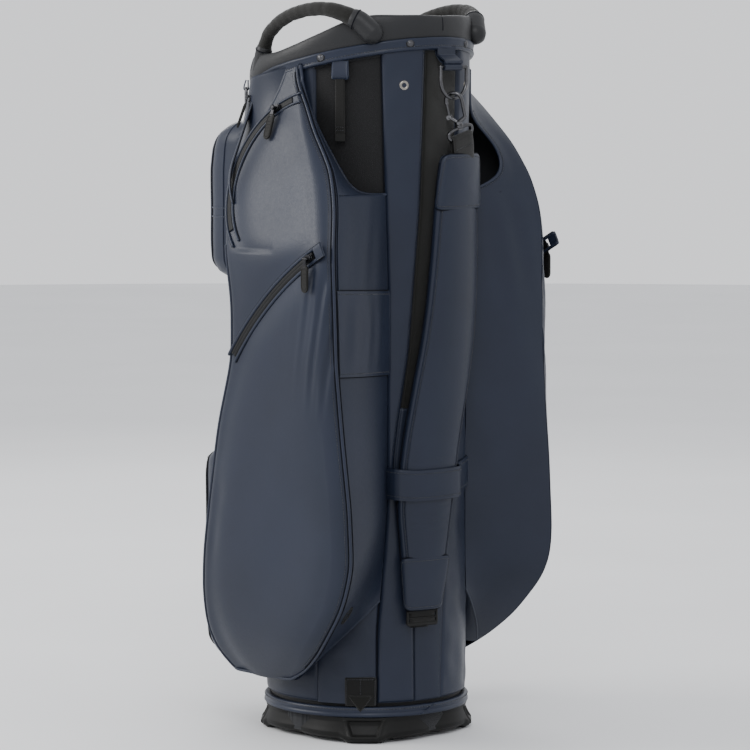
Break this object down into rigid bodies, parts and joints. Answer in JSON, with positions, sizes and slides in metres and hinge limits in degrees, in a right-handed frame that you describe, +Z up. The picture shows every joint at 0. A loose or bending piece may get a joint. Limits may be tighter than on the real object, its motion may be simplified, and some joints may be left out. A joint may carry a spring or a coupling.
{
  "type": "golf staff bag",
  "caption": "Upright golf bag with a slanted divided mouth, two carry handles, side and front zip pockets and a stowed padded shoulder strap on its spine.",
  "frame": {"origin": "on the floor under the body tube's axis, at the middle of the base's underside", "axes": "+Z up along the tube; -Y is the spine with the shoulder strap, +Y the ball pocket, -X the left side pocket"},
  "size_m": [0.421, 0.3781, 0.8998],
  "materials": {
    "navy_leather": "satin coated leather, fine grain",
    "cuff_leather": "satin dark coated leather",
    "grip_fabric": "ribbed neoprene",
    "textured_fabric": "textured dark lining",
    "webbing": "woven nylon webbing",
    "lining": "dark nylon lining",
    "zip_tape": "coated waterproof zip tape",
    "black_mould": "moulded black plastic, fine grain",
    "foot_rubber": "moulded rubber",
    "gunmetal": "dark plated zinc",
    "nickel": "nickel plated",
    "stay_alloy": "bare",
    "puller_rubber": "moulded soft pull tab"
  },
  "bodies": {
    "bag": {"accessory_tab": "navy_leather", "anchor_patch": "webbing", "ball_pocket": "navy_leather", "base_feet": "foot_rubber", "base_shell": "black_mould", "body_tube": "textured_fabric", "cooler_drain": "black_mould", "divider_panels": "lining", "divider_top": "grip_fabric", "eyelets": "nickel", "frame_stays": "stay_alloy", "front_zip_tapes": "zip_tape", "handle_ferrules": "black_mould", "hem_band": "navy_leather", "hook_swivel": "gunmetal", "keeper_band": "navy_leather", "left_cart_strap_band": "navy_leather", "left_handle": "grip_fabric", "left_side_pocket": "navy_leather", "left_sleeve_panel": "navy_leather", "left_zip_tapes": "zip_tape", "pad_patch_lower": "navy_leather", "pad_patch_upper": "navy_leather", "right_handle": "grip_fabric", "right_side_pocket": "navy_leather", "right_sleeve_panel": "navy_leather", "right_zip_tapes": "zip_tape", "shoulder_pad": "navy_leather", "spine_channel_strip": "textured_fabric", "spine_panel_left": "navy_leather", "spine_panel_right": "navy_leather", "strap_buckle": "black_mould", "strap_tab": "navy_leather", "strap_webbing_lower": "webbing", "strap_webbing_upper": "webbing", "top_cuff": "cuff_leather", "top_trim_band": "navy_leather", "towel_ring_tab": "navy_leather", "trim_rivets": "gunmetal", "upper_front_pocket": "navy_leather"},
    "accessory_strap": {"accessory_strap": "webbing"},
    "d_ring": {"d_ring": "gunmetal"},
    "hook": {"hook_body": "gunmetal"},
    "hook_gate": {"hook_gate": "gunmetal"},
    "towel_ring": {"towel_ring": "gunmetal"},
    "right_apparel_slider": {"right_apparel_slider": "gunmetal"},
    "right_apparel_puller": {"right_apparel_puller": "puller_rubber"},
    "right_cooler_slider": {"right_cooler_slider": "gunmetal"},
    "right_cooler_puller": {"right_cooler_puller": "puller_rubber"},
    "left_apparel_slider": {"left_apparel_slider": "gunmetal"},
    "left_apparel_puller": {"left_apparel_puller": "puller_rubber"},
    "left_cooler_slider": {"left_cooler_slider": "gunmetal"},
    "left_cooler_puller": {"left_cooler_puller": "puller_rubber"},
    "left_valuables_slider": {"left_valuables_slider": "gunmetal"},
    "left_valuables_puller": {"left_valuables_puller": "puller_rubber"},
    "upper_front_slider": {"upper_front_slider": "gunmetal"},
    "upper_front_puller": {"upper_front_puller": "puller_rubber"},
    "ball_slider": {"ball_slider": "gunmetal"},
    "ball_puller": {"ball_puller": "puller_rubber"}
  },
  "joints": [
    {"name": "right_apparel_zip", "type": "hinge", "parent": "bag", "child": "right_apparel_slider", "pos_m": [0.17372, -0.05809, 0.68347], "axis": [-0.951, 0, -0.3091], "range_deg": [0, 87]},
    {"name": "right_apparel_pull", "type": "hinge", "parent": "right_apparel_slider", "child": "right_apparel_puller", "pos_m": [0.15298, 0.003, 0.7735], "axis": [-0.951, 0, -0.3091], "range_deg": [-95, 5]},
    {"name": "right_cooler_zip", "type": "hinge", "parent": "bag", "child": "right_cooler_slider", "pos_m": [0.2, -0.33099, 0.21919], "axis": [-1, 0, 0], "range_deg": [0, 23.4]},
    {"name": "right_cooler_pull", "type": "hinge", "parent": "right_cooler_slider", "child": "right_cooler_puller", "pos_m": [0.2081, -0.112, 0.597], "axis": [0, -1, 0], "range_deg": [0, 110]},
    {"name": "left_apparel_zip", "type": "hinge", "parent": "bag", "child": "left_apparel_slider", "pos_m": [-0.17372, -0.05809, 0.68347], "axis": [-0.951, 0, 0.3091], "range_deg": [0, 87]},
    {"name": "left_apparel_pull", "type": "hinge", "parent": "left_apparel_slider", "child": "left_apparel_puller", "pos_m": [-0.15298, 0.003, 0.7735], "axis": [-0.951, 0, 0.3091], "range_deg": [-95, 5]},
    {"name": "left_cooler_zip", "type": "hinge", "parent": "bag", "child": "left_cooler_slider", "pos_m": [-0.2, -0.33099, 0.21919], "axis": [-1, 0, 0], "range_deg": [0, 23.4]},
    {"name": "left_cooler_pull", "type": "hinge", "parent": "left_cooler_slider", "child": "left_cooler_puller", "pos_m": [-0.2081, -0.112, 0.597], "axis": [0, 1, 0], "range_deg": [0, 110]},
    {"name": "left_valuables_zip", "type": "slide", "parent": "bag", "child": "left_valuables_slider", "axis": [-0.4194, -0.0125, -0.9077], "range_m": [0, 0.0799]},
    {"name": "left_valuables_pull", "type": "hinge", "parent": "left_valuables_slider", "child": "left_valuables_puller", "pos_m": [-0.13651, 0.06678, 0.78598], "axis": [0.6554, 0.7553, 0], "range_deg": [0, 110]},
    {"name": "upper_front_zip", "type": "slide", "parent": "bag", "child": "upper_front_slider", "axis": [1, 0, 0], "range_m": [0, 0.12]},
    {"name": "upper_front_pull", "type": "hinge", "parent": "upper_front_slider", "child": "upper_front_puller", "pos_m": [-0.06, 0.2107, 0.64], "axis": [1, 0, 0], "range_deg": [0, 110]},
    {"name": "ball_zip", "type": "slide", "parent": "bag", "child": "ball_slider", "axis": [1, 0, 0], "range_m": [0, 0.124]},
    {"name": "ball_pull", "type": "hinge", "parent": "ball_slider", "child": "ball_puller", "pos_m": [-0.062, 0.2207, 0.32], "axis": [1, 0, 0], "range_deg": [0, 110]},
    {"name": "d_ring_swing", "type": "hinge", "parent": "bag", "child": "d_ring", "pos_m": [0.008, -0.144, 0.822], "axis": [1, 0, 0], "range_deg": [-3, 2]},
    {"name": "hook_swivel_turn", "type": "hinge", "parent": "bag", "child": "hook", "pos_m": [0.01641, -0.144, 0.755], "axis": [0.2786, 0, -0.9604], "range_deg": [-8, 8]},
    {"name": "hook_gate_open", "type": "hinge", "parent": "hook", "child": "hook_gate", "pos_m": [0.00968, -0.13517, 0.76137], "axis": [0.848, 0.4695, 0.246], "range_deg": [0, 25], "stiffness_Nm_per_rad": 0.02, "springref_deg": -8.59},
    {"name": "accessory_strap_swing", "type": "hinge", "parent": "bag", "child": "accessory_strap", "pos_m": [-0.10888, -0.06838, 0.812], "axis": [-0.5373, 0.8434, 0], "range_deg": [0, 60]},
    {"name": "towel_ring_swing", "type": "hinge", "parent": "bag", "child": "towel_ring", "pos_m": [-0.1168, 0.0916, 0.796], "axis": [0.6, 0.8, 0], "range_deg": [0, 80]}
  ],
  "couplings": [
    {"joint": "right_apparel_pull", "follows": "right_apparel_zip", "ratio": -1},
    {"joint": "left_apparel_pull", "follows": "left_apparel_zip", "ratio": -1}
  ]
}
